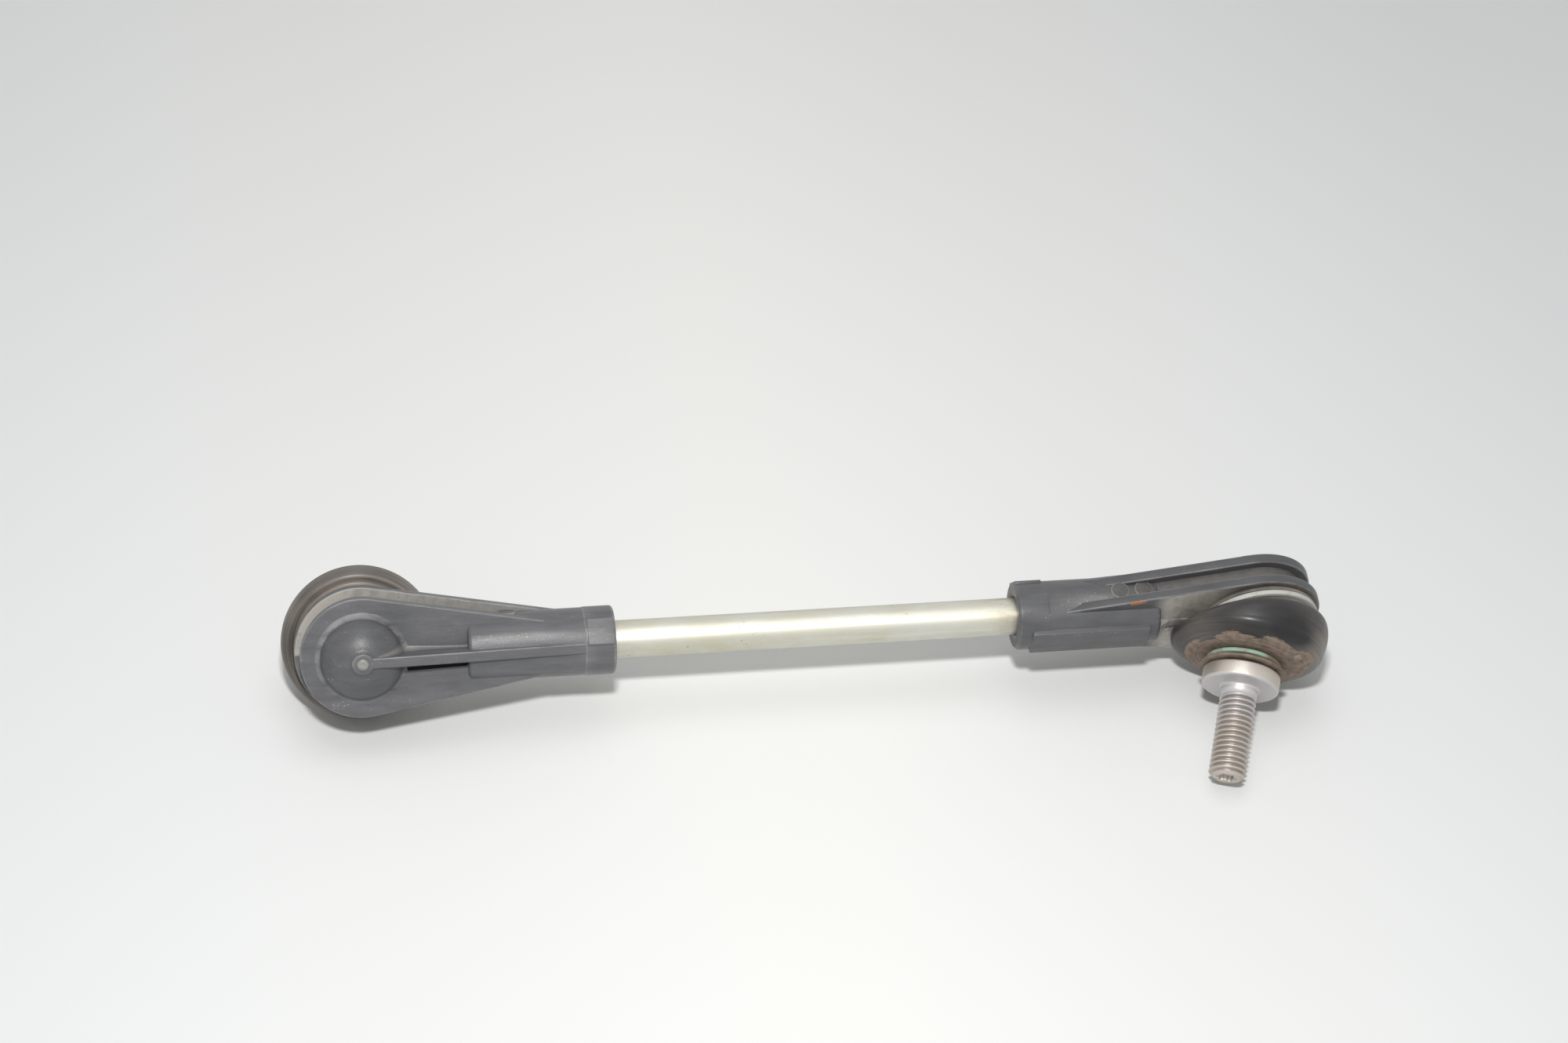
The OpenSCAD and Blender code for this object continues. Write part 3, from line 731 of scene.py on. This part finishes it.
crusted = look.mix(crust, dirt, (0.33, 0.255, 0.19))
dull = look.math("MAXIMUM", cake, look.math("MULTIPLY", haze, 0.45))
look.shade(
    Base_Color=look.mix(cake, hazed, crusted),
    Roughness=look.ramp(dull, 0.0, 1.0, 0.40, 0.72),
    Specular_IOR_Level=0.30,
    Coat_Weight=look.ramp(cake, 0.0, 1.0, 0.24, 0.0),
    Coat_Roughness=0.24,
    Normal=look.bump(look.math("MULTIPLY", grit, cake), 0.4, 0.0005),
)

boot_radius, boot_wall, boot_level = 20.75, 1.6, 12.8
shoulder_radius, shoulder_level = 18.6, 9.0
grip_radius, cuff_radius, lip_radius, lip_level = 14.98, 13.26, 8.88, 19.0
top_power, belly_power = 0.95, 0.87
fold_share = {"left": 0.1, "right": 0.95}
boot_film = {"left": 0.6, "right": 0.09}
seam_start, seam_along, seam_across = 0.15, 1.35, 0.65
mould_line, mould_rise, mould_width = 0.905, 0.012, 0.012
gate_way, gate_col = 1.68, 85
stub_line = [(0, 0.42), (0.35, 0.45), (0.55, 0.62), (0.85, 0.62), (1.1, 0.42), (1.3, 0.1), (1.7, -0.25)]
span = 3
boot_sides = 144
boot_turn = np.linspace(0, 2 * np.pi, boot_sides, endpoint=False)[None]


def bow(level_a, radius_a, radius_b, power, share_a, share_b, way_a, angles):
    """A quarter of a super-ellipse in the half section, from a point to the fold: radius goes with a
    power of the sine and level with the same power of the cosine. The ring's share of the stud's lean
    goes with a power of the angle."""
    rise = angles / 90.0
    turn = np.radians(angles)
    level = boot_level - (boot_level - level_a) * np.clip(np.cos(turn), 0, 1) ** power
    radius = radius_a + (radius_b - radius_a) * np.sin(turn) ** power
    share = share_a + (share_b - share_a) * rise ** 1.5
    return np.stack([radius, level, share, way_a + (1 - way_a) * rise], -1)


def boot_section(fold):
    """Closed half section as rows of radius, level, share of the stud's lean and way from clamp (0) over
    fold (1) to lip (2). It runs from the cuff through the valley to the shoulder, over the fold and the
    belly to the lip, and back inside one wall further in. Gives the rows and both folds' row numbers."""
    out = np.linspace(0, 90, 19)
    inner = boot_radius - boot_wall
    valley, near_fold = grip_radius + 0.6, 0.12 * fold
    cuff = [
        (cuff_radius, 4.95, 0, 0), (15.88, 4.95, 0, 0), (16.23, 5.3, 0, 0), (16.23, 6.1, 0, 0),
        (grip_radius, 6.35, 0, 0), (grip_radius, 7.85, 0, 0), (valley, 8.1, 0, 0.1),
        ((valley + shoulder_radius) / 2, shoulder_level + 0.7, near_fold, 0.25),
    ]
    lip = [
        (lip_radius, 17.65, 1, 2), (lip_radius, 18.95, 1, 2), (lip_radius + 0.7, 19.15, 1, 2),
        (lip_radius + 0.7, 19.8, 1, 2), (6.9, 19.8, 1, 2), (6.9, 17.1, 1, 2), (8.1, 16.5, 1, 2),
    ]
    back = [
        ((grip_radius + shoulder_radius) / 2 - 0.1, shoulder_level + boot_wall + 0.6, near_fold, 0.25),
        (grip_radius, 9.7, 0, 0.1), (cuff_radius + 0.8, 8.9, 0, 0), (cuff_radius, 7.9, 0, 0),
    ]
    shoulder = bow(shoulder_level, shoulder_radius, boot_radius, top_power, 0.3 * fold, fold, 0.4, out)
    belly = bow(17.5, lip_radius + 0.9, boot_radius, belly_power, 1, fold, 2, out[-2::-1])
    inner_belly = bow(15.9, 8.3, inner, belly_power, 1, fold, 2, out[2:])
    inner_shoulder = bow(shoulder_level + boot_wall, shoulder_radius - 0.3, inner, top_power,
                         0.3 * fold, fold, 0.4, out[-2::-1])
    rows = np.concatenate([cuff, shoulder, belly, lip, inner_belly, inner_shoulder, back])
    fold_row = len(cuff) + len(shoulder) - 1
    return rows, fold_row, fold_row + len(belly) + len(lip) + len(inner_belly)


def smooth_line(points, per_span):
    """Points on an open chain of centripetal curves through the given points: each span takes its
    slopes from the chord of its neighbours, so the line has no corners."""
    padded = np.concatenate([points[:1] * 2 - points[1:2], points, points[-1:] * 2 - points[-2:-1]])
    knots = np.maximum(np.linalg.norm(padded[1:] - padded[:-1], axis=-1), 1e-6)[:, None, None] ** 0.5
    p0, p1, p2, p3 = padded[:-3, None], padded[1:-2, None], padded[2:-1, None], padded[3:, None]
    t1, t2, t3 = knots[:-2], knots[1:-1], knots[2:]
    m1 = t2 * ((p1 - p0) / t1 - (p2 - p0) / (t1 + t2) + (p2 - p1) / t2)
    m2 = t2 * ((p2 - p1) / t2 - (p3 - p1) / (t2 + t3) + (p3 - p2) / t3)
    t = np.linspace(0, 1, per_span, endpoint=False)[None, :, None]
    line = ((2 * t ** 3 - 3 * t ** 2 + 1) * p1 + (t ** 3 - 2 * t ** 2 + t) * m1
            + (-2 * t ** 3 + 3 * t ** 2) * p2 + (t ** 3 - t ** 2) * m2)
    return np.concatenate([line.reshape(-1, points.shape[1]), points[-1:]])


def stud_lean(side):
    """The stud's direction in the socket's axes as two turns: pitch about y, then lean about x."""
    axis = np.array(joints[side + "_spin"]["axis"]) @ ball_place(side)[1]
    return np.arctan2(axis[0], axis[2]), np.arcsin(axis[1])


def boot_rings(rows, side):
    """The boot's rings: each radius and level of the section is a circle about the socket's axis, and its
    plane turns about the ball centre by its own share of the stud's lean."""
    pitch, lean = (rows[:, 2:3] * angle for angle in stud_lean(side))
    x, y, z = np.moveaxis(turned(rows[:, :2], boot_sides), -1, 0)
    y, z = y * np.cos(lean) + z * np.sin(lean), -y * np.sin(lean) + z * np.cos(lean)
    return np.stack([x * np.cos(pitch) + z * np.sin(pitch), y, -x * np.sin(pitch) + z * np.cos(pitch)], -1)


def near(angle, width):
    """A bell over the turn about an angle, both in degrees."""
    apart = (boot_turn - np.radians(angle) + np.pi) % (2 * np.pi) - np.pi
    return hump(apart, 0, np.radians(width))


def boot_dirt_and_sheen(way, film):
    """Cake and film on the boot's skin: dirt lies in the valley by the clamp, cakes the belly, and covers
    the side that faced the road but for one wiped patch. The weaker film near 326 degrees is a painted
    sheen: it stands for the table's grey reflection on that side of the rubber."""
    wiped = near(238, 14) * hump(way, 1.2, 0.24)
    cake_edge = 1.52 + 0.18 * near(320, 24) - 0.10 * near(244, 16) - 0.15 * near(209, 13)
    caked = np.clip(0.5 + (way - cake_edge) * 1.3, 0, 0.85) - 0.5 * wiped
    valley = np.clip((0.55 - way) * 3, 0, 0.95)
    # brown road dirt near 196 degrees; the film near 326 degrees is a painted sheen for the table's
    # reflection
    road_dirt_and_sheen = 0.8 * near(196, 28) * np.clip(way * 2 - 0.9, 0, 1) + 0.3 * near(326, 20)
    return caked, np.clip(valley + film + road_dirt_and_sheen - 0.7 * wiped, 0, 1)


def boot_split(way):
    """Splits the skin in two, an upper and a lower part. Their seam is a squared cosine of the turn: low
    down where the boot faces along the rod and above the fold where it faces across. Gives the lower part's
    cells and, for both parts, each point's share of the bend, which goes straight with its way."""
    half_cell = boot_turn[0, 1] / 2
    seam, cell_seam = (seam_across + (seam_along - seam_across) * np.cos(angle) ** 2
                       for angle in (boot_turn, boot_turn + half_cell))
    low_cells = (way[:-1] + way[1:]) / 2 > cell_seam
    beside = np.concatenate([low_cells[:1], low_cells, low_cells[-1:]])
    beside = np.stack([beside, np.roll(beside, 1, axis=1)])
    touching = beside[:, :-1].sum(axis=0) + beside[:, 1:].sum(axis=0)
    on_seam = (touching > 0) & (touching < 4)
    upper_follow = np.where(on_seam, 1, np.clip((way - seam_start) / (seam - seam_start), 0, 1))
    lower_follow = np.where(on_seam, 0, np.clip((way - seam) / (2 - seam), 0, 1))
    return low_cells, upper_follow, lower_follow


def gate_stub(rings, row, col):
    """The stub of the rubber's gate: a small turned ring that stands square on one point of the skin."""
    along = rings[row + 1, col] - rings[row - 1, col]
    up = np.cross(rings[row, col + 1] - rings[row, col - 1], along)
    up, first = up / np.linalg.norm(up), along / np.linalg.norm(along)
    return rings[row, col] + turned(stub_line, 36) @ np.stack([first, np.cross(up, first), up])


for side in ("left", "right"):
    rows, fold_row, inner_row = boot_section(fold_share[side])
    curve = smooth_line(rows, span)
    fold_point, inner_point = fold_row * span, inner_row * span
    curve[:fold_point, 0] += mould_rise * hump(curve[:fold_point, 3], mould_line, mould_width)
    line = np.concatenate([curve, curve[:1]])
    rings = boot_rings(line, side)
    way = np.clip(line[:, 3:], 0, 2)
    caked, film = boot_dirt_and_sheen(way, boot_film[side])
    low_cells, upper_follow, lower_follow = boot_split(way)
    gate_row = fold_point + np.argmin(np.abs(line[fold_point:inner_point, 3] - gate_way))
    for part, cells, follow, bodies, levels in (
            ("upper", ~low_cells, upper_follow, ("link", side + "_boot"), (clamp_high, boot_level)),
            ("lower", low_cells, lower_follow, (side + "_boot", side + "_lip"), (boot_level, lip_level))):
        grids = [(set_down(rings, side), {"caked": caked, "film": film, "follow": follow, "way": way})]
        if part == "lower":
            stub = set_down(gate_stub(rings, gate_row, gate_col), side)
            grids.append((stub, {"caked": 0.62, "film": 0.8, "follow": follow[gate_row, gate_col],
                                 "way": way[gate_row, 0]}))
        piece = make_piece(side + "_boot_" + part, grids, rubber_finish, None, side + "_boot",
                           closed=False, cells=cells)
        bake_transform(piece)
        # each point's share of the bend is read back from the mesh
        held = np.empty(len(piece.data.vertices), dtype="f")
        piece.data.attributes["follow"].data.foreach_get("value", held)


# Lip rings and shield washers.
# A pale green spring ring grips the boot's lip on the stud's land, and a thin
# brown rusted washer lies between the lip and the flange.
look = lip_finish = Finish("lip_plastic")
patch = look.noise(170.0, 6.0, 0.65)
soil = look.math("MAXIMUM", look.mark("soiled"), look.ramp(patch, 0.48, 0.68))
look.shade(
    Base_Color=look.mix(soil, (0.40, 0.56, 0.45), (0.24, 0.185, 0.135)),
    Roughness=look.ramp(patch, 0.35, 0.65, 0.35, 0.75),
    Normal=look.bump(patch, 0.15, 0.0003),
)
look = washer_finish = Finish("washer_steel")
rust = look.noise(240.0, 8.0, 0.7)
look.shade(
    Base_Color=look.mix(look.ramp(rust, 0.36, 0.66), (0.12, 0.095, 0.072), (0.29, 0.23, 0.175)),
    Metallic=0.25,
    Roughness=look.ramp(rust, 0.3, 0.7, 0.55, 0.8),
    Normal=look.bump(rust, 0.3, 0.0004),
)

# sizes in the order of the clamp ring's
lip_ring_size = 8.9, 10.2, 17.7, 18.9, 0.5
washer_size = 6.9, 11.7, 19.9, 20.7, 0.2
ring_sides = 120
grime_start, grime_full, grime_end = 150, 236, 248


def on_stud(grid, side):
    """Turns points from the stud's own axis to its lean, and carries them into the shared frame."""
    pitch, lean = stud_lean(side)
    swing = np.array([[np.cos(pitch), 0, np.sin(pitch)], [0, 1, 0], [-np.sin(pitch), 0, np.cos(pitch)]])
    return set_down(grid @ (swing @ roll(lean)).T, side)


for side in ("left", "right"):
    spring = turned(band_profile(*lip_ring_size), ring_sides)
    bearing = np.linspace(0, 360, ring_sides, endpoint=False)[None]
    grime = fade(bearing, grime_end, grime_full) * (bearing > grime_start)
    make_piece(side + "_lip_spring", [(on_stud(spring, side), {"soiled": grime})],
               lip_finish, side + "_lip", side + "_lip_ring")
    shield = turned(band_profile(*washer_size), ring_sides)
    make_piece(side + "_washer_shield", [(on_stud(shield, side), {})],
               washer_finish, side + "_lip", side + "_shield_washer")


# Studs.
# A plated steel stud, welded to the ball: neck, sealing land, round flange and a
# rolled metric thread with a six-lobe recess in its end. Grey dirt sits in the thread.
look = stud_finish = Finish("stud_steel")
mottle = look.noise(160.0, 7.0, 0.65)
tanned = look.cover("tanned", mottle, 0.30, 0.62, 0.5, 1.0)
plated = look.mix(tanned, (0.56, 0.548, 0.548), (0.53, 0.475, 0.415))
look.shade(
    Base_Color=look.mix(look.cover("deep", mottle, 0.25, 0.6, 0.5, 1.0), plated, (0.37, 0.325, 0.30)),
    Metallic=0.75,
    Roughness=look.ramp(mottle, 0.3, 0.7, 0.36, 0.54),
    Normal=look.bump(look.noise(1200.0, 3.0), 0.15, 0.0002),
)

shank_radius, shank_end = 4.95, 28.6
stud_line = [
    (0.0, 6.5), (4.2, 6.5), (4.2, 11.6), (4.4, 12.1), (6.4, 14.3), (6.6, 14.7), (6.6, 21.25), (9.95, 21.3),
    (10.25, 21.36), (10.44, 21.52), (10.5, 21.8), (10.5, 23.5), (10.5, 24.9), (10.42, 25.25), (10.2, 25.52),
    (9.85, 25.68), (9.4, 25.7), (6.0, 25.7), (5.6, 25.74), (5.25, 25.85), (5.02, 26.1),
    (shank_radius, 26.5), (shank_radius, shank_end), (0.0, shank_end),
]
flange_face = 25.0
tan_start, tan_length, tan_most = 33, 5, 0.9
thread_low, thread_high, thread_pitch = 28.0, 51.6, 1.5
crest_radius, root_radius = 5.0, 4.1
fade_start, fade_length = 28.2, 0.9
tip_chamfer, tip_slope = 1.1, 0.95
lobe_radius, lobe_height = 2.42, 0.30
recess_depth = 3.6


def thread_grid(rows=430, sides=96):
    """The rolled thread: radius is a triangle wave, flat at crest and root, of level over pitch less
    the turn, so that it climbs one pitch a turn. It fades in at the shank and out at the end's chamfer."""
    level = np.linspace(thread_low, thread_high, rows)[:, None]
    turn = np.linspace(0, 2 * np.pi, sides, endpoint=False)[None]
    phase = (level / thread_pitch - turn / (2 * np.pi)) % 1.0
    wave = np.clip(1.28 * (1 - 2 * np.abs(phase - 0.5)) - 0.11, 0, 1)
    wave = wave * wave * (3 - 2 * wave) * 0.5 + wave * 0.5
    start = np.clip((level - fade_start) / fade_length, 0, 1)
    bottom = shank_radius + (root_radius - shank_radius) * start
    crest = shank_radius + (crest_radius - shank_radius) * start
    radius = bottom + (crest - bottom) * wave
    chamfer = np.clip(level - (thread_high - tip_chamfer), 0, None) * tip_slope
    radius = np.minimum(radius, crest_radius - chamfer)
    radius[0] = 0.0
    grid = np.stack([radius * np.cos(turn), radius * np.sin(turn), level + 0 * turn], -1)
    return grid, (1 - wave) * start


def recess_grid(sides=180):
    """The end face and its six-lobe recess: the lobes' radius is a cosine of six turns, and it goes
    straight down to a flat floor."""
    turn = np.linspace(0, 2 * np.pi, sides, endpoint=False)
    lobe = lobe_radius + lobe_height * np.cos(6 * turn)
    radius = np.array([4.0 + 0 * turn, 3.9 + 0 * turn, lobe + 0.15, lobe, lobe, lobe - 0.1, 0 * turn])
    depth = np.array([0.2, 0.01, 0, 0.15, recess_depth, recess_depth, recess_depth])[:, None]
    grid = np.stack([radius * np.cos(turn), radius * np.sin(turn), thread_high - depth + 0 * turn], -1)
    return grid, np.array([0, 0, 0, 0.4, 1, 1, 1])[:, None]


for side in ("left", "right"):
    shank, shank_deep = thread_grid()
    end, end_deep = recess_grid()
    body = turned(stud_line, 144)
    shank_tan = np.clip((shank[..., 2] - tan_start) / tan_length, 0, tan_most)
    grids = [
        (body, {"tanned": 1.0 * (body[..., 2] < flange_face)}),
        (shank, {"deep": shank_deep, "tanned": shank_tan}),
        (end, {"deep": end_deep, "tanned": 1.0}),
    ]
    make_piece(side + "_stud_shank", [(on_stud(grid, side), values) for grid, values in grids],
               stud_finish, side + "_stud", side + "_stud")
